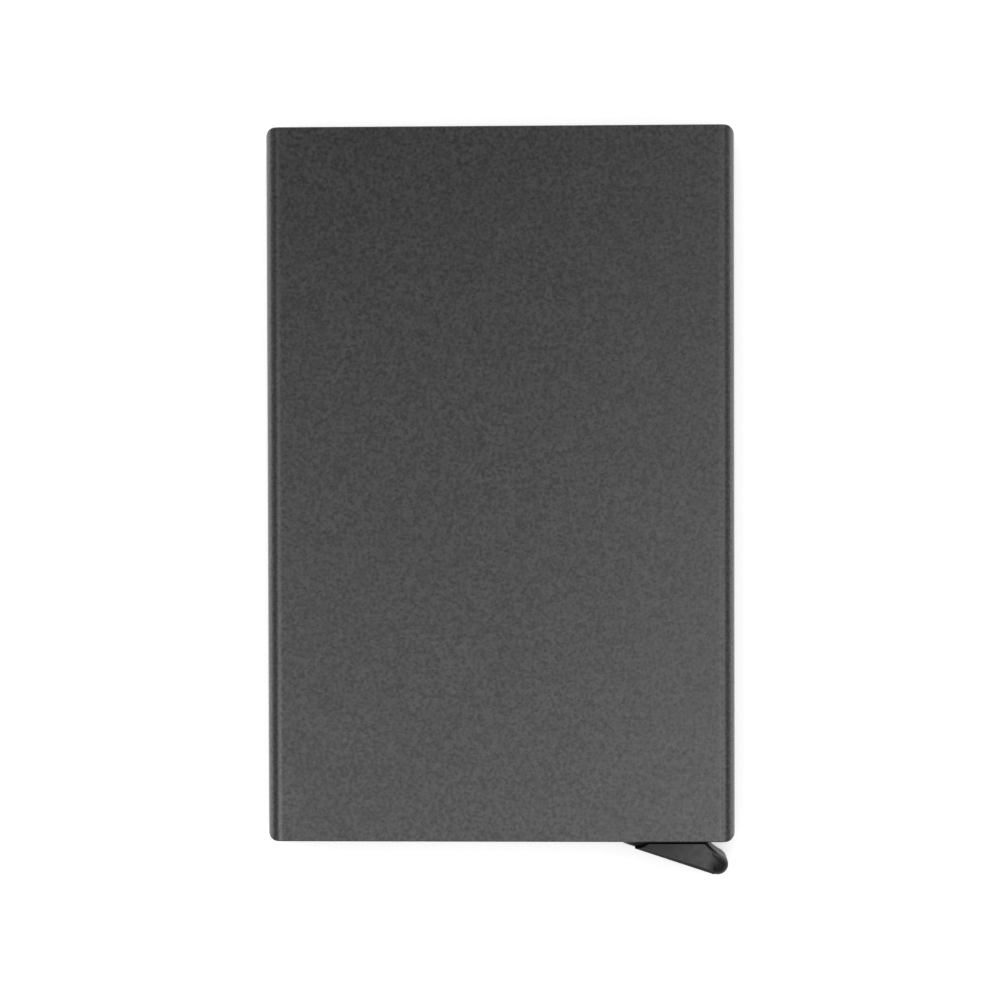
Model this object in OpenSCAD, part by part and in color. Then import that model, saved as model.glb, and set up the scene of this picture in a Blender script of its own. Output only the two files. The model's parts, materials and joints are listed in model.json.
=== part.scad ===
// Pop-up card holder: an extruded aluminium sleeve whose base carries a stepped lever.
// Millimetres. X is the width, Y runs from the base end to the mouth, Z from back to front.
// The origin is the middle of the sleeve's back face.

/* [Cards] */
// Width of a card
card_w = 54; // [48:0.5:66]
// Length of a card
card_l = 85.6; // [74:0.1:100]
// Thickness of a flat card
card_t = 0.76; // [0.7:0.02:0.9]
// Number of cards, and of steps on the lever
card_count = 6; // [5:1:7]
// Depth of the cards' top edges below the mouth
card_recess = 1.4; // [1:0.1:3]

/* [Sleeve] */
// Wall of the extrusion
sleeve_wall = 1; // [0.8:0.05:1.2]
// Outer radius of the four long edges
edge_r = 2.2; // [1.6:0.1:2.4]
// Inner radius of the four long edges
cavity_r = 0.9; // [0.6:0.1:1.2]
// Radius of the four corners, seen from the front
corner_r = 1.3; // [0.8:0.1:2]
// Chamfer round the cut ends
end_chamfer = 0.2; // [0.1:0.05:0.3]

/* [Base plug] */
// Length of the plug, from its underside to the cards that stand on it
plug_l = 9.4; // [8.4:0.1:12]
// Depth of the plug's underside inside the sleeve
plug_recess = 0.3; // [0.1:0.1:0.6]
// Thickness of the plug's floor
floor_t = 1.3; // [1:0.1:1.6]
// Wall of the plug to the right of the tab
plug_side = 1.2; // [0.8:0.1:1.5]
// Distance of the pivot from the sleeve's right side
pivot_side = 13.7; // [12.5:0.1:15]
// Height of the pivot above the sleeve's base end
pivot_rise = 2.2; // [2.1:0.1:2.8]
// Radius of the pivot pin
pin_r = 0.75; // [0.5:0.05:1]

/* [Lever] */
// Radius of the boss round the pivot
boss_r = 3; // [2.7:0.1:3.2]
// Angle of the tab below the sleeve's end at rest
tab_angle = 18.2; // [16:0.2:20]
// Reach of the tab, from the pivot to its round end
tab_reach = 13.9; // [13.2:0.1:14.2]
// Radius of the tab's round end
tip_r = 1.45; // [1.4:0.05:1.7]
// Radius of the tab's slim neck, which ends at the plug's ears
neck_r = 2.4; // [2.2:0.1:2.5]
// Radius of the scoop that a fingertip pulls
scoop_r = 6.7; // [5:0.1:7]
// Lean of the scoop towards the tab's end
scoop_lean = 9.5; // [6:0.5:14]
// Sweep of the scoop's arc, from the tab's end up into the sleeve
scoop_arc = 36; // [34:1:44]
// Radius of the inner end of the scoop
pad_r = 0.6; // [0.5:0.05:0.8]
// Depth of the tab's faces below the sleeve's front and back faces
tab_inset = 0.5; // [0.3:0.1:1]
// Gap between the tab and the cut end of the sleeve
end_gap = 0.3; // [0.2:0.05:0.5]
// Rounding of the tab's long edges
edge_fillet = 0.5; // [0.2:0.1:0.6]
// Rounding of the scoop's rims
rim_fillet = 1; // [0.6:0.1:1.2]
// Rounding of the tab's end
tip_fillet = 1.4; // [0.8:0.1:1.4]
// Rounding of the tab's edges along the sleeve's end
end_fillet = 0.4; // [0.2:0.1:0.6]
// Swing of the lever from rest to its stop
lever_swing = 38; // [20:1:40]
// Difference in reach between one step and the next
step_pitch = 6; // [4:0.5:6.5]
// Distance from a card's left edge to the longest step's nose
nose_inset = 1; // [0.5:0.5:4]
// Radius of each step's nose
nose_r = 1.2; // [0.8:0.1:1.5]
// Distance from a step's nose back to its heel on the floor
heel_back = 7; // [5:0.5:9]

/* [Side clamps] */
// Thickness of a rail's back
rail_back = 1.4; // [1:0.1:1.6]
// Thickness of a rail's front and rear lips
rail_lip = 0.8; // [0.6:0.1:1]
// Depth of the felt's face proud of the lips
felt_proud = 0.4; // [0.2:0.1:0.5]
// Thickness of the felt
felt_t = 0.8; // [0.5:0.1:1.2]
// Thickness of the foam behind the felt
foam_t = 1.35; // [1:0.05:2]
// Length of the solid end of a rail's channel
rail_end = 2; // [1:0.5:4]

/* [Mouth bezel] */
// Depth of the bezel inside the mouth
bezel_recess = 0.3; // [0.1:0.1:0.6]
// Length of the bezel
bezel_l = 2.6; // [2:0.1:4]
// Thickness of the bezel's front and rear bars
bezel_wall = 0.45; // [0.4:0.05:0.8]
// Lead-in round the bezel's opening
bezel_lead = 0.25; // [0.1:0.05:0.3]

/* [Hidden] */
$fn = 96;
// Facets of a circle inside a hull
hull_fn = 40;

// Overrun of every cut
over = 1;
// Clearance of an insert in the sleeve
fit_gap = 0.05;
// Clearance between inserts that stand end to end
butt_gap = 0.05;
// Clearance of a card's edge at the felt
card_side_gap = 0.1;
// Clearance of the card stack in the bezel, front and rear
mouth_gap_z = 0.22;
// Clearance of a card in the bezel, left and right
mouth_gap_x = 0.5;
// Clearance of the lever between the plug's skins
lever_gap = 0.1;
// Clearance round the boss and at the open stop
boss_gap = 0.12;
// Clearance of the lever's arm above the floor
floor_gap = 0.15;
// Clearance of the steps' noses below the cards
seat_gap = 0.1;
// Clearance of the longest step at the end of its trough
trough_gap = 0.6;
// Clearance above the tab in the plug
tab_gap = 0.5;
// Radial clearance of the pin in the lever
pin_run_gap = 0.05;
// Radial clearance of the pin in the plug
pin_seat_gap = 0.02;
// Chamfer on the ends of the pin
pin_chamfer = 0.15;
// Relief of each step within its card's thickness
step_relief = 0.03;
// Clearance of the foam in its channel
foam_gap = 0.05;

// The card stack and the opening it passes through
stack_t = card_count * card_t;
opening_w = card_w + 2 * mouth_gap_x;
opening_t = stack_t + 2 * mouth_gap_z;

// The clamps on each side of the cards
felt_x = card_w / 2 + card_side_gap;
lip_x = felt_x + felt_proud;
rail_x = felt_x + felt_t + foam_t + rail_back;

// The outer size of everything that slides into the sleeve
insert_w = 2 * rail_x;
insert_t = opening_t + 2 * bezel_wall;

// The sleeve is built round its inserts and its cards
cavity_w = insert_w + 2 * fit_gap;
cavity_t = insert_t + 2 * fit_gap;
sleeve_w = cavity_w + 2 * sleeve_wall;
sleeve_t = cavity_t + 2 * sleeve_wall;
sleeve_l = plug_recess + plug_l + card_l + card_recess;
mid_z = sleeve_t / 2;
base_y = -sleeve_l / 2;
mouth_y = sleeve_l / 2;
plug_y = base_y + plug_recess;
seat_y = plug_y + plug_l;

// The lever's steps, its pivot and its trough
step_t = card_t - step_relief;
lever_t = card_count * step_t;
trough_t = lever_t + 2 * lever_gap;
pivot = [sleeve_w / 2 - pivot_side, base_y + pivot_rise];
floor_y = plug_y + floor_t;
long_reach = pivot.x + card_w / 2 - nose_inset;
trough_x = pivot.x - long_reach - trough_gap;

// The plug's ears, front and rear, reach as far from the pivot as the boss's seat
ear_r = boss_r + boss_gap;

// The lever's outlines are measured from its pivot
nose_y = seat_y - seat_gap - nose_r - pivot.y;
arm_y = floor_y + floor_gap - pivot.y;
tip = [tab_reach - tip_r, tip_r - boss_r];
neck = [ear_r + neck_r, neck_r - boss_r];
scoop = tip + (tip_r + scoop_r) * [sin(scoop_lean), cos(scoop_lean)];
pad = scoop - (scoop_r + pad_r) * [sin(scoop_lean + scoop_arc), cos(scoop_lean + scoop_arc)];
tab_t = sleeve_t - 2 * tab_inset;

// The bezel, and the rails between it and the plug
channel_t = insert_t - 2 * rail_lip;
bezel_y = mouth_y - bezel_recess;
rail_y0 = seat_y + butt_gap;
rail_y1 = bezel_y - bezel_l - butt_gap;

// Rectangle with true arcs at its corners
module rounded_rect(w, h, r) {
    square([w - 2 * r, h], center = true);
    square([w, h - 2 * r], center = true);
    for (sx = [-1, 1], sy = [-1, 1])
        translate([sx * (w / 2 - r), sy * (h / 2 - r)])
            circle(r);
}

// Rectangle with its corners cut at 45 degrees
module chamfered_rect(w, h, c) {
    polygon([
        [-w / 2 + c, -h / 2], [w / 2 - c, -h / 2], [w / 2, -h / 2 + c], [w / 2, h / 2 - c],
        [w / 2 - c, h / 2], [-w / 2 + c, h / 2], [-w / 2, h / 2 - c], [-w / 2, -h / 2 + c]
    ]);
}

// Runs an outline drawn in X and Z from y0 to y1
module along_y(y0, y1) {
    translate([0, y1, 0])
        rotate([90, 0, 0])
            linear_extrude(y1 - y0)
                children();
}

// Runs an outline drawn in X and Y through a thickness centred in the sleeve
module mid_slab(t) {
    translate([0, 0, mid_z - t / 2])
        linear_extrude(t)
            children();
}

// The two points where a straight edge touches two circles on the given side
function touch_points(c1, r1, c2, r2, side) =
    let (
        d = c2 - c1,
        n = atan2(d.y, d.x) + side * acos((r1 - r2) / norm(d)),
        away = [cos(n), sin(n)]
    )
    [c1 + r1 * away, c2 + r2 * away];

// Round post with chamfered ends, standing along Y
module long_edge() {
    rotate([90, 0, 0])
        rotate_extrude()
            intersection() {
                chamfered_rect(2 * edge_r, sleeve_l, end_chamfer);
                translate([0, -sleeve_l / 2 - over])
                    square([edge_r + over, sleeve_l + 2 * over]);
            }
}

// The extrusion before it is bored and its corners are rounded
module sleeve_blank() {
    translate([-(sleeve_w / 2 - edge_r), 0, mid_z])
        rotate([90, 0, 90])
            linear_extrude(sleeve_w - 2 * edge_r)
                chamfered_rect(sleeve_l, sleeve_t, end_chamfer);
    mid_slab(sleeve_t - 2 * edge_r)
        chamfered_rect(sleeve_w, sleeve_l, end_chamfer);
    for (sx = [-1, 1], sz = [-1, 1])
        translate([sx * (sleeve_w / 2 - edge_r), 0, mid_z + sz * (sleeve_t / 2 - edge_r)])
            long_edge();
}

// What is milled off one corner of the sleeve, seen from the front
module corner_cut() {
    difference() {
        square(corner_r + over);
        circle(corner_r);
    }
}

module sleeve() {
    color("#4a4a4c")
        difference() {
            sleeve_blank();
            translate([0, 0, mid_z])
                along_y(base_y - over, mouth_y + over)
                    rounded_rect(cavity_w, cavity_t, cavity_r);
            for (sx = [0, 1], sy = [0, 1])
                mirror([sx, 0, 0])
                    mirror([0, sy, 0])
                        translate([sleeve_w / 2 - corner_r, sleeve_l / 2 - corner_r])
                            mid_slab(sleeve_t + 2 * over)
                                corner_cut();
        }
}

// Ring that lines the mouth and leads the cards in
module mouth_bezel() {
    color("#1c1c1d")
        translate([0, 0, mid_z])
            difference() {
                along_y(bezel_y - bezel_l, bezel_y)
                    rounded_rect(insert_w, insert_t, cavity_r);
                along_y(bezel_y - bezel_l - over, bezel_y + over)
                    square([opening_w, opening_t], center = true);
                bezel_lead_in();
            }
}

// Sloped edges of the bezel's opening, long sides and then short ones
module bezel_lead_in() {
    flare = bezel_lead + over;
    translate([-opening_w / 2, bezel_y])
        rotate([90, 0, 90])
            linear_extrude(opening_w)
                polygon([
                    [-bezel_lead, -opening_t / 2], [over, -opening_t / 2 - flare],
                    [over, opening_t / 2 + flare], [-bezel_lead, opening_t / 2]
                ]);
    translate([0, bezel_y, -opening_t / 2])
        linear_extrude(opening_t)
            polygon([
                [-opening_w / 2, -bezel_lead], [opening_w / 2, -bezel_lead],
                [opening_w / 2 + flare, over], [-opening_w / 2 - flare, over]
            ]);
}

// Moulded rail on the right: it fills the side of the sleeve and holds a clamp strip
module side_rail() {
    foot_w = rail_x - lip_x;
    color("#202021")
        translate([0, 0, mid_z])
            difference() {
                intersection() {
                    along_y(rail_y0, rail_y1)
                        rounded_rect(insert_w, insert_t, cavity_r);
                    along_y(rail_y0 - over, rail_y1 + over)
                        translate([lip_x, -insert_t / 2 - over])
                            square([foot_w + over, insert_t + 2 * over]);
                }
                along_y(rail_y0 + rail_end, rail_y1 - rail_end)
                    translate([lip_x - over, -channel_t / 2])
                        square([foot_w - rail_back + over, channel_t]);
            }
}

// Strip in the right rail's channel, from x0 to x1
module clamp_strip(x0, x1) {
    strip_t = channel_t - 2 * foam_gap;
    translate([x0, rail_y0 + rail_end + foam_gap, mid_z - strip_t / 2])
        cube([x1 - x0, rail_y1 - rail_y0 - 2 * rail_end - 2 * foam_gap, strip_t]);
}

module foam_strip() {
    color("#3a3a3c")
        clamp_strip(felt_x + felt_t, felt_x + felt_t + foam_t);
}

module felt_strip() {
    color("#2a2a2e")
        clamp_strip(felt_x, felt_x + felt_t);
}

// Moves its children from the pivot's own axes into place
module at_pivot() {
    translate([pivot.x, pivot.y])
        children();
}

// Moves its children from the tab's axes, along and across its lower edge, to the pivot's
module at_tab() {
    rotate(-tab_angle)
        children();
}

module base_plug() {
    color("#1b1b1c")
        difference() {
            translate([0, 0, mid_z])
                along_y(plug_y, seat_y)
                    rounded_rect(insert_w, insert_t, cavity_r);
            arm_trough();
            lever_mouth();
            at_pivot()
                mid_slab(sleeve_t)
                    circle(pin_r + pin_seat_gap);
        }
}

// Trough in the plug where the lever's arm lies, and the seat of its boss
module arm_trough() {
    mid_slab(trough_t) {
        translate([trough_x, floor_y])
            square([pivot.x - trough_x, seat_y - floor_y + over]);
        translate([pivot.x, pivot.y])
            circle(ear_r);
        translate([pivot.x, pivot.y])
            square([ear_r, seat_y - pivot.y + over]);
    }
}

// Slot that lets the tab out of the plug, full depth beyond the ears
module lever_mouth() {
    at_pivot() {
        mid_slab(trough_t)
            tab_room();
        mid_slab(sleeve_t)
            difference() {
                tab_room();
                circle(ear_r);
            }
    }
}

// Turns a point from the tab's axes to the sleeve's
function from_tab(p) = [
    p.x * cos(tab_angle) + p.y * sin(tab_angle),
    p.y * cos(tab_angle) - p.x * sin(tab_angle)
];

// Room for the tab, from just above its rest place to the stop at the end of its swing
module tab_room() {
    top = touch_points([0, 0], boss_r + tab_gap, pad, pad_r + tab_gap, 1);
    ceiling = from_tab(top[1]);
    side_x = insert_w / 2 - plug_side - pivot.x;
    low_y = -pivot_rise - over;
    open = -tab_angle - lever_swing;
    stop = ear_r * [sin(open), -cos(open)];
    stop_low = stop + (low_y - stop.y) / sin(open) * [cos(open), sin(open)];
    polygon([
        [0, 0], from_tab(top[0]), ceiling, [side_x, ceiling.y], [side_x, low_y], stop_low, stop
    ]);
}

// Steel pin, trapped between the sleeve's walls
module pivot_pin() {
    color("silver")
        at_pivot()
            translate([0, 0, mid_z])
                rotate_extrude()
                    intersection() {
                        chamfered_rect(2 * pin_r, insert_t - 2 * fit_gap, pin_chamfer);
                        translate([0, -insert_t])
                            square([pin_r + over, 2 * insert_t]);
                    }
}

// One step of the lever: from the boss to a nose at the given reach
module step_outline(reach) {
    nose = [nose_r - reach, nose_y];
    heel = [heel_back - reach, arm_y];
    upper = touch_points([0, 0], boss_r, nose, nose_r, -1);
    back = touch_points(nose, nose_r, heel, 0, -1);
    translate(nose)
        circle(nose_r);
    polygon([[0, 0], upper[0], upper[1], nose, back[0], heel, [0, arm_y]]);
}

// The stack of steps, the longest at the back
module stepped_arm() {
    for (i = [0 : card_count - 1])
        translate([0, 0, mid_z - lever_t / 2 + i * step_t])
            linear_extrude(step_t)
                step_outline(long_reach - i * step_pitch);
}

// Disc at a place on the tab, with its rim rounded
module soft_disc(place, r, t, round_r) {
    translate([place.x, place.y, mid_z])
        rotate_extrude($fn = hull_fn)
            intersection() {
                rounded_rect(2 * r, t, round_r);
                translate([0, -t])
                    square([r, 2 * t]);
            }
}

// The tab before its scoop is cut: a slim neck that widens towards the fingertip
module tab_body() {
    hull() {
        soft_disc([0, 0], boss_r, lever_t, edge_fillet);
        soft_disc(neck, neck_r, lever_t, edge_fillet);
    }
    hull() {
        soft_disc(neck, neck_r, lever_t, edge_fillet);
        soft_disc(pad, pad_r, tab_t, edge_fillet);
        soft_disc(tip, tip_r, tab_t, tip_fillet);
    }
}

// Spool that cuts the scoop and rounds its front and rear rims
module scoop_cut() {
    outer_r = scoop_r + rim_fillet;
    translate([scoop.x, scoop.y, mid_z])
        rotate_extrude()
            difference() {
                translate([0, -tab_t / 2 - over])
                    square([outer_r, tab_t + 2 * over]);
                translate([outer_r, rim_fillet - tab_t / 2])
                    circle(rim_fillet);
                translate([outer_r, tab_t / 2 - rim_fillet])
                    circle(rim_fillet);
                translate([scoop_r, rim_fillet - tab_t / 2])
                    square([outer_r, tab_t - 2 * rim_fillet]);
            }
}

// What thins the tab to the arm inside the sleeve, and rounds the edges that face the sleeve's end
module end_relief() {
    edge_y = -pivot_rise - end_gap;
    for (side = [0, 1])
        translate([0, 0, mid_z])
            mirror([0, 0, side])
                rotate([90, 0, 90])
                    linear_extrude(2 * tab_reach) {
                        translate([edge_y, lever_t / 2])
                            square([plug_l, tab_t]);
                        translate([edge_y - end_fillet, tab_t / 2 - end_fillet])
                            difference() {
                                square(end_fillet + over);
                                circle(end_fillet);
                            }
                    }
}

module lever() {
    color("#161617")
        at_pivot()
            difference() {
                union() {
                    stepped_arm();
                    at_tab()
                        difference() {
                            tab_body();
                            scoop_cut();
                        }
                }
                end_relief();
                mid_slab(sleeve_t)
                    circle(pin_r + pin_run_gap);
            }
}

sleeve();
mouth_bezel();
mirror([1, 0, 0]) side_rail();  // side_rail_left
side_rail();  // side_rail_right
mirror([1, 0, 0]) foam_strip();  // foam_strip_left
foam_strip();  // foam_strip_right
mirror([1, 0, 0]) felt_strip();  // felt_strip_left
felt_strip();  // felt_strip_right
base_plug();
pivot_pin();
lever();
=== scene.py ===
"""Looks of the pop-up card holder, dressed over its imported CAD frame.

The sleeve, the web of the lever's tab, the felt and the foam are modelled here. The other pieces are merged
and softened copies of their CAD nodes. Sizes are in metres, in the frame's own axes: X is the width, +Y the
mouth, +Z the front face.
"""
import json
import math

import bmesh
import bpy
from mathutils import Matrix, Vector, noise

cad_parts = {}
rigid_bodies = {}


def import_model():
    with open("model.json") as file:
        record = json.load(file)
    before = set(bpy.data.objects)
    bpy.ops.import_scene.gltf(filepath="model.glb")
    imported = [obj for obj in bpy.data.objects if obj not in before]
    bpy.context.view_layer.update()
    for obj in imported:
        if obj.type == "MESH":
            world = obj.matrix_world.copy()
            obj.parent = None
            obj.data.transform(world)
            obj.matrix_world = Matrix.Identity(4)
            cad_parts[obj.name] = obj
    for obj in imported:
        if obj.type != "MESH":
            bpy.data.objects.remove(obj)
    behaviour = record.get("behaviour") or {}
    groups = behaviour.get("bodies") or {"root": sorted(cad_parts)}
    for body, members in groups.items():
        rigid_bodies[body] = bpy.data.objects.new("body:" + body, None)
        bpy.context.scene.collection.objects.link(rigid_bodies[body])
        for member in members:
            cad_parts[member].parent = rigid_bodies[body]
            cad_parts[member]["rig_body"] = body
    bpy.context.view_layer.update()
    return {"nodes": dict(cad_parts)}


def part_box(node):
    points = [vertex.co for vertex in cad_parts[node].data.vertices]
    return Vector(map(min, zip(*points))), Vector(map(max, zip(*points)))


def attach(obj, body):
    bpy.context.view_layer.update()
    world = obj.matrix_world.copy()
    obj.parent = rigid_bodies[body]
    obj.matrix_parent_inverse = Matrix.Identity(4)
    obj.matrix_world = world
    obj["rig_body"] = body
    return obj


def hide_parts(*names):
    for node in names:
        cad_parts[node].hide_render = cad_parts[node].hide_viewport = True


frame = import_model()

MM = 0.001

# Sizes that the frame's boxes don't give
SLEEVE_WALL = 1.0 * MM
LONG_EDGE_R = 2.2 * MM
CORNER_R = 1.3 * MM
END_ROUND = 0.2 * MM
BORE_ROUND = 0.1 * MM
EDGE_STEPS = 12
CORNER_STEPS = 9

# Strips of felt and foam: the spacing of the cuts that let their faces swell
STRIP_PITCH = 0.45 * MM

# Vertices closer than this are one, and faces that turn less than this are one flat
MERGE_REACH = 0.001 * MM
FLAT_TURN = math.radians(0.5)

BOSS_R = 3.0 * MM
TAB_ANGLE = math.radians(18.2)
TAB_REACH = 13.9 * MM
TAB_HALF_T = 3.5 * MM
TAB_START_R = 3.2 * MM
TIP_R = 1.45 * MM
SCOOP_R = 6.7 * MM
SCOOP_LEAN = math.radians(9.5)
END_GAP = 0.3 * MM

# The web of the tab: how far it lies under the tab's sides, its chamfer, which widens towards the tip, and
# its edge along the scoop, which ends at a place along and across the tab
UNDER_SKIN = 0.01 * MM
LOWER_CHAMFER = 0.47 * MM
CHAMFER_SPREAD = 0.012
WEB_EDGE_R = 7.1 * MM
WEB_EDGE_END = (11.05 * MM, 2.8 * MM)
BOSS_ARC_STEPS = 8
SCOOP_ARC_STEPS = 14

# The facets between the web and the round tip: their turns from the tab's direction, and how far they tilt up
FACET_TURNS = (-65, -30)
FACET_TILT = 0.9

# Slope at which the boss falls away from the sleeve's end
BOSS_RELIEF = 0.9
BOSS_MARGIN = 0.1 * MM

SLEEVE_LOW, SLEEVE_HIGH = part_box("sleeve")
SLEEVE_HALF = (SLEEVE_HIGH - SLEEVE_LOW) / 2
SLEEVE_MID = (SLEEVE_HIGH + SLEEVE_LOW) / 2
PIVOT = sum(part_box("pivot_pin"), Vector()) / 2


def from_tab(x, y):
    """A place given along and across the tab's lower edge from the pivot, in the frame's axes."""
    return PIVOT + Matrix.Rotation(-TAB_ANGLE, 3, "Z") @ Vector((x, y, 0))


LEAN = TAB_ANGLE + SCOOP_LEAN
TIP = from_tab(TAB_REACH - TIP_R, TIP_R - BOSS_R)
SCOOP = TIP + Matrix.Rotation(-LEAN, 3, "Z") @ Vector((0, TIP_R + SCOOP_R, 0))


# Finishes

class Finish:
    """A material under construction: its node tree and its surface shader."""

    def __init__(self, name):
        self.material = bpy.data.materials.new(name)
        self.material.use_nodes = True
        self.tree = self.material.node_tree
        self.shader = self.tree.nodes["Principled BSDF"]
        self.place = self.node("ShaderNodeTexCoord").outputs["Object"]

    def node(self, kind, **settings):
        """A new node, with each setting put on its property or, where it has none, on its input."""
        made = self.tree.nodes.new(kind)
        for key, value in settings.items():
            if hasattr(made, key):
                setattr(made, key, value)
            else:
                made.inputs[key.replace("_", " ").title()].default_value = value
        return made

    def link(self, out, into):
        self.tree.links.new(out, into)

    def grain(self, per_metre, detail=2.0, roughness=0.5, stretch=None):
        """Noise with that many cells to the metre, from 0 to 1, drawn out along an axis by stretch."""
        place = self.place
        if stretch:
            mapping = self.node("ShaderNodeMapping")
            mapping.inputs["Scale"].default_value = stretch
            self.link(place, mapping.inputs["Vector"])
            place = mapping.outputs["Vector"]
        made = self.node("ShaderNodeTexNoise", scale=per_metre, detail=detail, roughness=roughness)
        self.link(place, made.inputs["Vector"])
        return made.outputs["Fac"]

    def ranged(self, value, low, high, from_low=0.3, from_high=0.7):
        """The value, spread from one range to another and clamped."""
        made = self.node("ShaderNodeMapRange")
        self.link(value, made.inputs["Value"])
        limits = (("From Min", from_low), ("From Max", from_high), ("To Min", low), ("To Max", high))
        for key, number in limits:
            made.inputs[key].default_value = number
        return made.outputs["Result"]

    def blend(self, amount, first, second):
        """A colour between two, by an amount from 0 to 1."""
        made = self.node("ShaderNodeMix", data_type="RGBA")
        self.link(amount, made.inputs["Factor"])
        for socket, colour in ((made.inputs[6], first), (made.inputs[7], second)):
            if isinstance(colour, tuple):
                socket.default_value = (*colour, 1)
            else:
                self.link(colour, socket)
        return made.outputs[2]

    def maths(self, operation, *inputs):
        """The result of a sum on sockets and numbers."""
        made = self.node("ShaderNodeMath", operation=operation)
        for socket, value in zip(made.inputs, inputs):
            if isinstance(value, bpy.types.NodeSocket):
                self.link(value, socket)
            else:
                socket.default_value = value
        return made.outputs[0]

    def product(self, first, second):
        return self.maths("MULTIPLY", first, second)

    def sum(self, first, second):
        return self.maths("ADD", first, second)

    def rim_mask(self, reach, width):
        """1 at the piece's two ends along Y, falling to 0 over that width."""
        split = self.node("ShaderNodeSeparateXYZ")
        self.link(self.place, split.inputs[0])
        inward = self.maths("SUBTRACT", reach, self.maths("ABSOLUTE", split.outputs["Y"]))
        return self.ranged(inward, 1, 0, 0, width)

    def raise_by(self, height, distance, strength=1.0):
        """Bumps the surface by a height from 0 to 1, over that distance."""
        made = self.node("ShaderNodeBump", strength=strength, distance=distance)
        self.link(height, made.inputs["Height"])
        self.link(made.outputs["Normal"], self.shader.inputs["Normal"])

    def set(self, **sockets):
        """Puts numbers on the shader's sockets and links outputs to them."""
        for key, value in sockets.items():
            socket = self.shader.inputs[key.replace("_", " ")]
            if isinstance(value, bpy.types.NodeSocket):
                self.link(value, socket)
            else:
                socket.default_value = (*value, 1) if isinstance(value, tuple) else value


def grey(level):
    return (level, level, level * 1.01)


def anodised_finish():
    """Bead-blasted, dyed aluminium: fine pits, each facing its own way, and edges rubbed in pockets."""
    pits_per_m, clouds_per_m, wear_per_m, bumps_per_m = 2300, 160, 2200, 3600
    deep_dye, thin_dye, bare_metal = grey(0.090), grey(0.151), grey(0.2)
    cloud_share = wear_share = 0.12
    worn_width, bump_height = 0.25 * MM, 0.02 * MM
    finish = Finish("anodised_aluminium")
    pits = finish.grain(pits_per_m, detail=1.5)
    tone = finish.blend(finish.ranged(pits, 0, 1, 0.25, 0.75), deep_dye, thin_dye)
    clouds = finish.grain(clouds_per_m, detail=3)
    tone = finish.blend(finish.ranged(clouds, 0, cloud_share), tone, deep_dye)
    worn = finish.ranged(finish.grain(wear_per_m, detail=3), 0, 1, 0.4, 0.65)
    rubbed = finish.product(finish.rim_mask(SLEEVE_HALF.y, worn_width), worn)
    tone = finish.blend(finish.ranged(rubbed, 0, wear_share, 0, 1), tone, bare_metal)
    finish.set(Base_Color=tone, Metallic=1.0, Roughness=finish.ranged(pits, 0.25, 0.31))
    finish.raise_by(finish.grain(bumps_per_m, detail=2), bump_height, 0.5)
    return finish.material


def moulded_finish(name, level, rough, spark_size, depth, shine=0.5):
    """Black moulded plastic with a spark-eroded texture, and the sheen of handling in patches."""
    handled_per_m, handled_swing, spark_swing = 450, 0.04, 0.05
    finish = Finish(name)
    spark = finish.grain(1 / spark_size, detail=2)
    tone = finish.blend(finish.ranged(spark, 0, 1), grey(level * 0.7), grey(level * 1.3))
    handled = finish.ranged(finish.grain(handled_per_m, detail=2), -handled_swing, handled_swing)
    dulled = finish.sum(finish.ranged(spark, rough - spark_swing, rough + spark_swing), handled)
    finish.set(Base_Color=tone, Roughness=dulled, IOR=1.5, Specular_IOR_Level=shine)
    finish.raise_by(spark, depth)
    return finish


def polished_and_shaded_lever_finish():
    """The lever's plastic, dull as moulded, and polished by fingertips on the tab's faces and scoop; its coat
    is also thinned at the round tip and towards the boss, as painted shade.
    """
    # The spot near the tip where the coat fades as painted shade, and the radii it fades between
    tip_shade_spot, tip_shade_r, tip_shade_end_r = TIP + Vector((0.5, -0.9, 0)) * MM, 1.0 * MM, 2.4 * MM
    face_reach, face_edge = TAB_HALF_T - 0.08 * MM, TAB_HALF_T - 0.02 * MM
    rim_reach, rim_edge = TAB_HALF_T - 1.4 * MM, TAB_HALF_T - 0.8 * MM
    scoop_near, scoop_far = SCOOP_R + 0.3 * MM, SCOOP_R + 1.2 * MM
    patches_per_m = 1400
    finish = moulded_finish("lever_plastic", level=0.008, rough=0.42, spark_size=0.25 * MM, depth=0.03 * MM,
                            shine=0.2)

    def apart(place):
        """Distance from a place, seen from the front."""
        flat = finish.node("ShaderNodeVectorMath", operation="MULTIPLY")
        finish.link(finish.place, flat.inputs[0])
        flat.inputs[1].default_value = (1, 1, 0)
        far = finish.node("ShaderNodeVectorMath", operation="DISTANCE")
        finish.link(flat.outputs[0], far.inputs[0])
        far.inputs[1].default_value = (place.x, place.y, 0)
        return far.outputs["Value"]

    split = finish.node("ShaderNodeSeparateXYZ")
    finish.link(finish.place, split.inputs[0])
    height = finish.maths("ABSOLUTE", finish.maths("SUBTRACT", split.outputs["Z"], PIVOT.z))
    face = finish.ranged(height, 0, 1, face_reach, face_edge)
    rim = finish.ranged(height, 0, 1, rim_reach, rim_edge)
    scooped = finish.product(rim, finish.ranged(apart(SCOOP), 1, 0, scoop_near, scoop_far))
    # Painted shade: the coat fades out at the round tip and falls off towards the boss, where shade falls
    tip_shade_fade = finish.ranged(apart(tip_shade_spot), 0, 1, tip_shade_r, tip_shade_end_r)
    boss_shade_fade = finish.ranged(apart(PIVOT), 0.25, 0.95, BOSS_R, TAB_REACH - 2 * TIP_R)
    patchy = finish.ranged(finish.grain(patches_per_m, detail=3), 0.75, 1.1)
    # The fingertip polish on the faces and scoop, times the painted shade at the tip and the boss
    polish_and_shade = finish.product(finish.maths("MAXIMUM", face, scooped), finish.product(tip_shade_fade, boss_shade_fade))
    finish.set(Coat_Weight=finish.product(polish_and_shade, patchy), Coat_Roughness=0.3, Coat_IOR=1.72)
    return finish


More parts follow.
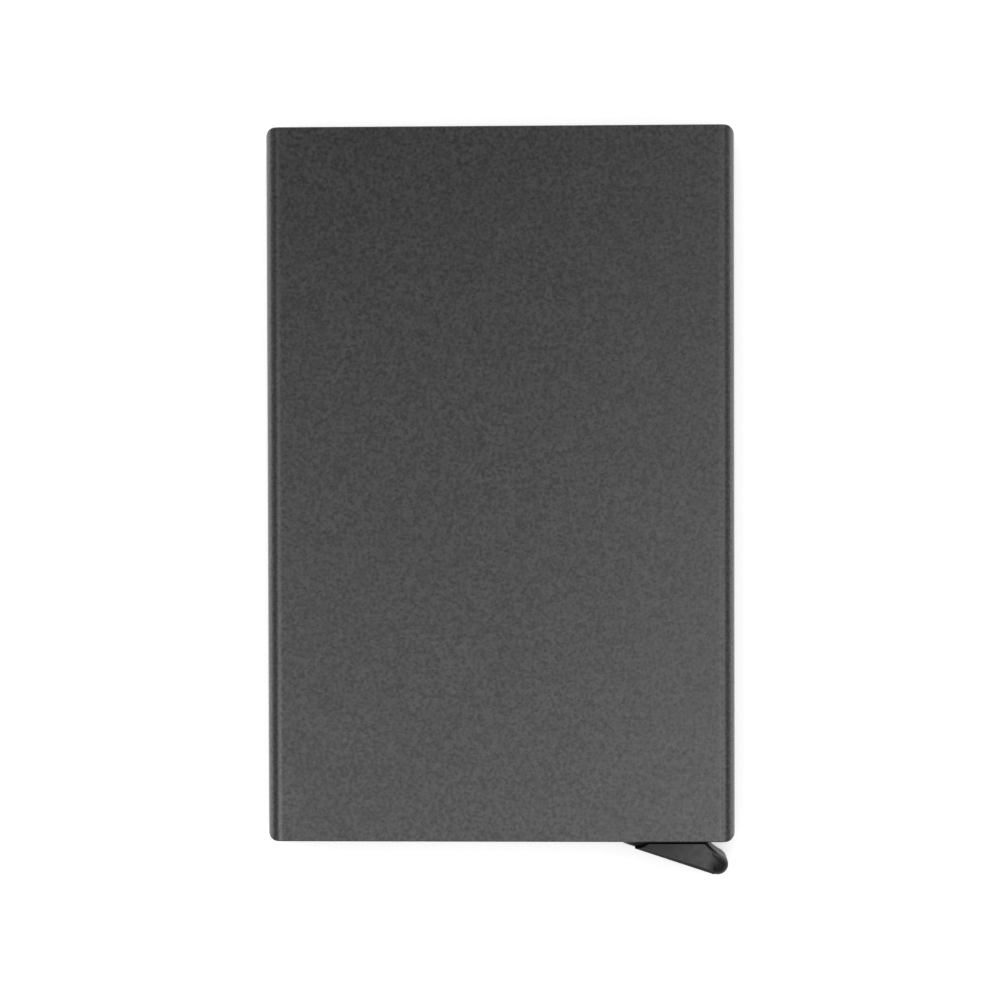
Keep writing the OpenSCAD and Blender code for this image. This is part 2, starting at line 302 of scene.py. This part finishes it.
def felt_finish():
    """Short-napped felt: matted fibres that run along the strip, in tufts."""
    fibres_per_m, tufts_per_m, nap_height = 4500, 1100, 0.08 * MM
    finish = Finish("grey_felt")
    fibres = finish.grain(fibres_per_m, detail=4, roughness=0.7, stretch=(1, 0.35, 1))
    tufts = finish.grain(tufts_per_m, detail=3)
    tone = finish.blend(finish.ranged(fibres, 0, 1), grey(0.012), grey(0.05))
    tone = finish.blend(finish.ranged(tufts, 0, 0.4), tone, grey(0.03))
    finish.set(Base_Color=tone, Roughness=0.95, Sheen_Weight=0.4, Sheen_Roughness=0.5)
    finish.raise_by(fibres, nap_height)
    return finish.material


def foam_finish():
    """Open-cell foam: round cells, darker in their pits than on their walls as painted shade."""
    cells_per_m, cell_depth = 2800, 0.1 * MM
    finish = Finish("open_cell_foam")
    cells = finish.node("ShaderNodeTexVoronoi", scale=cells_per_m)
    finish.link(finish.place, cells.inputs["Vector"])
    # Painted shade: the colour darkens towards each cell's middle, where the bump sinks the surface
    tone = finish.blend(finish.ranged(cells.outputs["Distance"], 0, 1, 0.1, 0.6), grey(0.012), grey(0.07))
    finish.set(Base_Color=tone, Roughness=0.9)
    finish.raise_by(cells.outputs["Distance"], cell_depth)
    return finish.material


def pin_finish():
    """Ground steel, with the grinding marks round it."""
    marks_per_m, mark_depth = 900, 0.002 * MM
    finish = Finish("ground_steel")
    lay = finish.grain(marks_per_m, detail=4, stretch=(1, 1, 40))
    tone = finish.blend(finish.ranged(lay, 0, 1), (0.42, 0.42, 0.41), (0.58, 0.58, 0.57))
    finish.set(Base_Color=tone, Metallic=1.0, Roughness=finish.ranged(lay, 0.22, 0.34))
    finish.raise_by(lay, mark_depth)
    return finish.material


# Pieces

def make_piece(name, bm, node, material):
    """Closes a bmesh into a smooth-shaded piece that rides on its node's body and stands for that node."""
    mesh = bpy.data.meshes.new(name)
    bm.to_mesh(mesh)
    bm.free()
    mesh.shade_smooth()
    mesh.materials.append(material)
    piece = bpy.data.objects.new(name, mesh)
    bpy.context.scene.collection.objects.link(piece)
    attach(piece, frame["nodes"][node]["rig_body"])
    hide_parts(node)
    return piece


def keep_flats(piece):
    """Keeps the flats flat under smooth shading."""
    flats = piece.modifiers.new("flat_faces", "WEIGHTED_NORMAL")
    flats.keep_sharp = True
    return piece


def soften(piece, width, angle=math.radians(35)):
    """Breaks the sharp edges, and keeps the flats flat."""
    edge = piece.modifiers.new("broken_edges", "BEVEL")
    edge.width = width
    edge.segments = 2
    edge.limit_method = "ANGLE"
    edge.angle_limit = angle
    edge.harden_normals = False
    return keep_flats(piece)


def merged_copy(node):
    """The CAD node's loose triangles as one closed mesh, with flat faces whole."""
    bm = bmesh.new()
    bm.from_mesh(frame["nodes"][node].data)
    bmesh.ops.remove_doubles(bm, verts=bm.verts, dist=MERGE_REACH)
    bmesh.ops.dissolve_limit(bm, angle_limit=FLAT_TURN, verts=bm.verts, edges=bm.edges)
    return bm


def depth_in_wall(x, z):
    """Depth of a point of the sleeve's section, and how squarely the surface over it faces front or back."""
    over_x = abs(x - SLEEVE_MID.x) - (SLEEVE_HALF.x - LONG_EDGE_R)
    over_z = abs(z - SLEEVE_MID.z) - (SLEEVE_HALF.z - LONG_EDGE_R)
    if over_x > 0 and over_z > 0:
        reach = math.hypot(over_x, over_z)
        return LONG_EDGE_R - reach, over_z / reach
    return LONG_EDGE_R - max(over_x, over_z), float(over_z > over_x)


def rounded_drop(distance, radius):
    """How far an edge of that radius has fallen at a distance from it."""
    short = max(0.0, radius - distance)
    return radius - math.sqrt(radius ** 2 - min(short, radius) ** 2)


def wall_end(x, z):
    """Reach of the sleeve's wall along Y: milled to a round corner, with its rims broken."""
    beyond = max(0.0, abs(x - SLEEVE_MID.x) - (SLEEVE_HALF.x - CORNER_R))
    reach = SLEEVE_HALF.y - CORNER_R + math.sqrt(max(0.0, CORNER_R ** 2 - beyond ** 2))
    depth, facing = depth_in_wall(x, z)
    return reach - facing * rounded_drop(depth, END_ROUND) - rounded_drop(SLEEVE_WALL - depth, BORE_ROUND)


def sleeve_shell(material):
    """The extruded sleeve: its section, cut into rings that are fine at the rims, run from end to end."""
    bm = bmesh.new()
    section = bmesh.ops.create_grid(bm, x_segments=1, y_segments=1, size=1,
                                    matrix=Matrix.Rotation(math.radians(90), 4, "X"))["verts"]
    bmesh.ops.scale(bm, vec=(SLEEVE_HALF.x, 1, SLEEVE_HALF.z), verts=section)
    bmesh.ops.translate(bm, vec=SLEEVE_MID, verts=section)
    bmesh.ops.bevel(bm, geom=section, offset=LONG_EDGE_R, offset_type="OFFSET", segments=EDGE_STEPS,
                    profile=0.5, affect="VERTICES", material=-1, clamp_overlap=False)
    turn = math.acos(1 - (SLEEVE_WALL - 3 * BORE_ROUND) / CORNER_R) / CORNER_STEPS
    depths = [CORNER_R * (1 - math.cos(turn * k)) for k in range(1, CORNER_STEPS + 1)]
    depths += [SLEEVE_WALL - BORE_ROUND * share for share in (1, 0.5, 0.13, 0)]
    hole = bm.faces[:]
    for before, after in zip([0, *depths], depths):
        bmesh.ops.inset_region(bm, faces=hole, thickness=after - before, use_even_offset=True,
                               use_boundary=True)
    bmesh.ops.delete(bm, geom=hole, context="FACES")
    rim = bm.faces[:]
    run = bmesh.ops.extrude_face_region(bm, geom=rim)["geom"]
    far = [v for v in run if isinstance(v, bmesh.types.BMVert)]
    for v in bm.verts:
        v.co.y = SLEEVE_MID.y - wall_end(v.co.x, v.co.z)
    for v in far:
        v.co.y = SLEEVE_MID.y + wall_end(v.co.x, v.co.z)
    bmesh.ops.recalc_face_normals(bm, faces=bm.faces)
    return keep_flats(make_piece("sleeve_shell", bm, "sleeve", material))


def everything(bm):
    return bm.verts[:] + bm.edges[:] + bm.faces[:]


def soft_strip(name, node, material, edge_r, crown, nap, nap_size):
    """Strip of felt or foam: soft edges, a crown and an uneven nap, all within the node's box."""
    low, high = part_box(node)
    middle, half = (high + low) / 2, (high - low) / 2
    bm = bmesh.new()
    bmesh.ops.create_cube(bm, size=2)
    bmesh.ops.scale(bm, vec=half, verts=bm.verts)
    bmesh.ops.translate(bm, vec=middle, verts=bm.verts)
    bmesh.ops.bevel(bm, geom=bm.edges[:], offset=edge_r, segments=3, profile=0.5, affect="EDGES",
                    material=-1)
    for reach, across in ((half.y, Vector((0, 1, 0))), (half.z, Vector((0, 0, 1)))):
        for k in range(1, math.ceil(2 * reach / STRIP_PITCH)):
            at = middle + across * (k * STRIP_PITCH - reach)
            bmesh.ops.bisect_plane(bm, geom=everything(bm), plane_co=at, plane_no=across)
    bmesh.ops.remove_doubles(bm, verts=bm.verts, dist=MERGE_REACH)
    bm.normal_update()
    for v in bm.verts:
        out = abs(v.co.z - middle.z) / half.z
        fall = crown * out ** 2 * abs(v.normal.x) + nap * (0.5 + 0.5 * noise.noise(v.co / nap_size))
        v.co -= v.normal * fall
    return make_piece(name, bm, node, material)


def lever_moulding(material):
    """The whole lever as its CAD node has it, with the boss relieved where it shows below the sleeve."""
    bm = merged_copy("lever")
    end_y = SLEEVE_LOW.y
    bmesh.ops.bisect_plane(bm, geom=everything(bm), plane_co=(0, end_y, 0), plane_no=(0, 1, 0))
    for v in bm.verts:
        off = v.co - PIVOT
        if v.co.y < end_y and off.xy.length < BOSS_R + BOSS_MARGIN:
            most = abs(off.z) - BOSS_RELIEF * (end_y - v.co.y)
            v.co.z = PIVOT.z + math.copysign(max(0.0, most), off.z)
    return soften(make_piece("lever_moulding", bm, "lever", material), width=0.05 * MM)


def tab_web(material):
    """The full-thickness web of the tab: a shoulder along the sleeve's end, chamfers along its lower edge."""
    bm = bmesh.new()
    low = UNDER_SKIN - BOSS_R
    shoulder_y = SLEEVE_LOW.y - END_GAP - UNDER_SKIN
    rise, drop = PIVOT.y - shoulder_y, SCOOP.y - shoulder_y

    def run_arc(first, centre, last, steps):
        """Carries the outline from a vertex round a centre towards a place, and gives the new end."""
        turn = (first.co - centre).xy.angle_signed((last - centre).xy)
        made = bmesh.ops.spin(bm, geom=[first], cent=centre, axis=(0, 0, -1), angle=turn, steps=steps)
        return next(e for e in made["geom_last"] if isinstance(e, bmesh.types.BMVert))

    inner = bm.verts.new((PIVOT.x + math.sqrt(TAB_START_R ** 2 - rise ** 2), shoulder_y, PIVOT.z))
    start = run_arc(inner, PIVOT, from_tab(math.sqrt(TAB_START_R ** 2 - low ** 2), low), BOSS_ARC_STEPS)
    rim = bm.verts.new((SCOOP.x - math.sqrt(WEB_EDGE_R ** 2 - drop ** 2), shoulder_y, PIVOT.z))
    rim_end = run_arc(rim, SCOOP, from_tab(WEB_EDGE_END[0], WEB_EDGE_END[1] - BOSS_R), SCOOP_ARC_STEPS)
    low_end = bm.verts.new(from_tab(TAB_REACH - TIP_R, low))
    for pair in ((inner, rim), (rim_end, low_end), (low_end, start)):
        bm.edges.new(pair)
    web = bmesh.ops.contextual_create(bm, geom=bm.edges[:])["faces"]
    back = bmesh.ops.extrude_face_region(bm, geom=web, use_keep_orig=True)["geom"]
    for v in bm.verts:
        v.co.z = PIVOT.z + TAB_HALF_T
    for v in back:
        if isinstance(v, bmesh.types.BMVert):
            v.co.z = PIVOT.z - TAB_HALF_T

    # On each side, planes cut the chamfer along the lower edge and the facets that lead into the round tip
    for up in (1, -1):
        face = Vector((0, 0, up * TAB_HALF_T))
        cuts = [(from_tab(0, LOWER_CHAMFER - BOSS_R) + face, (CHAMFER_SPREAD, -1, 1))]
        for turned in map(math.radians, FACET_TURNS):
            aim = Vector((math.cos(turned), math.sin(turned), FACET_TILT)).normalized()
            flat = from_tab(aim.x, aim.y) - PIVOT
            ball = TIP + Vector((0, 0, up * (TAB_HALF_T - TIP_R)))
            cuts.append((ball + (flat + Vector((0, 0, up * aim.z))) * TIP_R, tuple(aim)))
        for place, aim in cuts:
            facing = from_tab(aim[0], aim[1]) - PIVOT + Vector((0, 0, up * aim[2]))
            made = bmesh.ops.bisect_plane(bm, geom=everything(bm), dist=0.1 * MERGE_REACH,
                                          plane_co=place, plane_no=facing, clear_outer=True)
            edges = [e for e in made["geom_cut"] if isinstance(e, bmesh.types.BMEdge)]
            if edges:
                bmesh.ops.contextual_create(bm, geom=edges)
    bmesh.ops.recalc_face_normals(bm, faces=bm.faces)
    piece = make_piece("tab_web", bm, "lever", material)
    return soften(piece, width=0.07 * MM, angle=math.radians(25))


def softened_copy(name, node, material, width):
    return soften(make_piece(name, merged_copy(node), node, material), width)


anodised = anodised_finish()
insert_black = moulded_finish("insert_plastic", level=0.018, rough=0.45, spark_size=0.2 * MM,
                              depth=0.015 * MM).material
lever_black = polished_and_shaded_lever_finish().material
felt = felt_finish()
foam = foam_finish()
steel = pin_finish()

sleeve_shell(anodised)
softened_copy("mouth_ring", "mouth_bezel", insert_black, width=0.06 * MM)
for side in ("left", "right"):
    softened_copy(f"rail_{side}", f"side_rail_{side}", insert_black, width=0.1 * MM)
    pad = soft_strip(f"foam_pad_{side}", f"foam_strip_{side}", foam,
                     edge_r=0.15 * MM, crown=0.0, nap=0.05 * MM, nap_size=0.4 * MM)
    soft_strip(f"felt_pad_{side}", f"felt_strip_{side}", felt,
               edge_r=0.2 * MM, crown=0.12 * MM, nap=0.06 * MM, nap_size=0.5 * MM)
softened_copy("plug_body", "base_plug", insert_black, width=0.08 * MM)
softened_copy("pin_body", "pivot_pin", steel, width=0.03 * MM)
lever_moulding(lever_black)
tab_web(lever_black)


# Floor, light and camera

# What shines sees a room that darkens from the level at the horizon to that overhead, and these soft boxes.
# Each box has its level, and its middle and spread as slopes from straight up, across and along the sleeve.
# The last one, beyond the mouth, keeps the face from going black when it is seen from the base end.
HORIZON_LEVEL = 0.51
ROOM_LEVEL = 0.043
ROOM_TOP = 0.98
MATT_LEVEL = 0.75
LOWEST_BOX = 0.05
SOFT_BOXES = (
    (2.40, (0.162, -0.320), (0.090, 0.384)),
    (2.40, (-0.551, -0.369), (0.433, 0.375)),
    (1.59, (0.708, -0.342), (0.430, 0.510)),
    (1.80, (1.700, 2.300), (1.000, 1.000)),
    (1.20, (-0.100, 0.950), (0.800, 0.320)),
)


# The paper floor
FLOOR_HALF = 3
FLOOR_GAP = 0.02 * MM
PAPER_GLOW = 0.48

# The photograph's camera, as fitted to the sleeve's outline
CAMERA_RIGHT = (0.99947, -0.00268, -0.03237)
CAMERA_UP = (0.00212, 0.99985, -0.01693)
CAMERA_BACK = (0.03241, 0.01685, 0.99933)
CAMERA_MM = (11.22, 3.75, 353.6)
SENSOR_WIDTH = 36
LENS = 92.25
NEAREST = 0.01


def stage_floor():
    """White paper under the holder, which glows only where the camera or a shiny surface sees it."""
    bm = bmesh.new()
    bmesh.ops.create_grid(bm, x_segments=1, y_segments=1, size=FLOOR_HALF)
    mesh = bpy.data.meshes.new("floor")
    bm.to_mesh(mesh)
    bm.free()
    floor = bpy.data.objects.new("floor", mesh)
    floor.location.z = SLEEVE_LOW.z - FLOOR_GAP
    bpy.context.scene.collection.objects.link(floor)
    paper = Finish("white_paper")
    paper.set(Base_Color=(0.9, 0.9, 0.9), Roughness=0.9, Specular_IOR_Level=0.0)
    glow = paper.node("ShaderNodeEmission")
    glow.inputs["Strength"].default_value = PAPER_GLOW
    seen = paper.node("ShaderNodeLightPath")
    shown = paper.node("ShaderNodeMath", operation="MAXIMUM")
    paper.link(seen.outputs["Is Camera Ray"], shown.inputs[0])
    paper.link(seen.outputs["Is Glossy Ray"], shown.inputs[1])
    lift = paper.node("ShaderNodeMixShader")
    both = paper.node("ShaderNodeAddShader")
    paper.link(paper.shader.outputs[0], both.inputs[0])
    paper.link(glow.outputs[0], both.inputs[1])
    paper.link(shown.outputs[0], lift.inputs[0])
    paper.link(paper.shader.outputs[0], lift.inputs[1])
    paper.link(both.outputs[0], lift.inputs[2])
    paper.link(lift.outputs[0], paper.tree.nodes["Material Output"].inputs["Surface"])
    mesh.materials.append(paper.material)


def studio_world():
    """A white horizon and soft white boxes in a dim room for what shines, plain white light for the rest."""
    world = bpy.data.worlds.new("studio")
    bpy.context.scene.world = world
    world.use_nodes = True
    tree = world.node_tree

    def node(kind, *inputs, **settings):
        made = tree.nodes.new(kind)
        for key, value in settings.items():
            setattr(made, key, value)
        for socket, value in zip(made.inputs, inputs):
            if isinstance(value, bpy.types.NodeSocket):
                tree.links.new(value, socket)
            else:
                socket.default_value = value
        return made.outputs[0]

    def maths(operation, *inputs):
        return node("ShaderNodeMath", *inputs, operation=operation)

    direction = tree.nodes.new("ShaderNodeTexCoord").outputs["Generated"]
    split = tree.nodes.new("ShaderNodeSeparateXYZ")
    tree.links.new(direction, split.inputs[0])
    across, along, up = split.outputs
    room = node("ShaderNodeMapRange", up, 0.0, ROOM_TOP, HORIZON_LEVEL, ROOM_LEVEL,
                interpolation_type="SMOOTHSTEP")
    high = maths("MAXIMUM", up, LOWEST_BOX)
    slopes = maths("DIVIDE", across, high), maths("DIVIDE", along, high)
    for level, middle, spread in SOFT_BOXES:
        apart = [maths("DIVIDE", maths("SUBTRACT", s, m), w) for s, m, w in zip(slopes, middle, spread)]
        square = maths("ADD", *(maths("MULTIPLY", a, a) for a in apart))
        glow = maths("MULTIPLY", maths("EXPONENT", maths("MULTIPLY", square, -1.0)), level)
        room = maths("ADD", room, glow)
    shiny = tree.nodes.new("ShaderNodeLightPath").outputs["Is Glossy Ray"]
    seen = maths("MULTIPLY", shiny, room)
    plain = maths("MULTIPLY", maths("SUBTRACT", 1.0, shiny), MATT_LEVEL)
    sky = tree.nodes["Background"]
    sky.inputs["Color"].default_value = (1, 1, 1, 1)
    tree.links.new(maths("ADD", seen, plain), sky.inputs["Strength"])


def matt_lamp(place, width, power):
    """A large lamp for the matt surfaces and the soft shadow; what shines sees the world's boxes instead."""
    lamp = bpy.data.lights.new("matt_lamp", "AREA")
    lamp.size = width
    lamp.energy = power
    box = bpy.data.objects.new("matt_lamp", lamp)
    box.location = place
    box.rotation_euler = Vector(place).to_track_quat("Z", "Y").to_euler()
    box.visible_camera = False
    box.visible_glossy = False
    bpy.context.scene.collection.objects.link(box)


def product_camera():
    """The photograph's camera: almost straight above, a little to the right of the sleeve."""
    camera = bpy.data.objects.new("camera", bpy.data.cameras.new("camera"))
    camera.matrix_world = Matrix((CAMERA_RIGHT, CAMERA_UP, CAMERA_BACK)).transposed().to_4x4()
    camera.location = Vector(CAMERA_MM) * MM
    camera.data.sensor_width = SENSOR_WIDTH
    camera.data.lens = LENS
    camera.data.clip_start = NEAREST
    bpy.context.scene.collection.objects.link(camera)
    bpy.context.scene.camera = camera


stage_floor()
studio_world()
matt_lamp(place=(-0.08, 0.1, 0.7), width=0.6, power=0.6)
product_camera()
bpy.context.scene.view_settings.view_transform = "Standard"
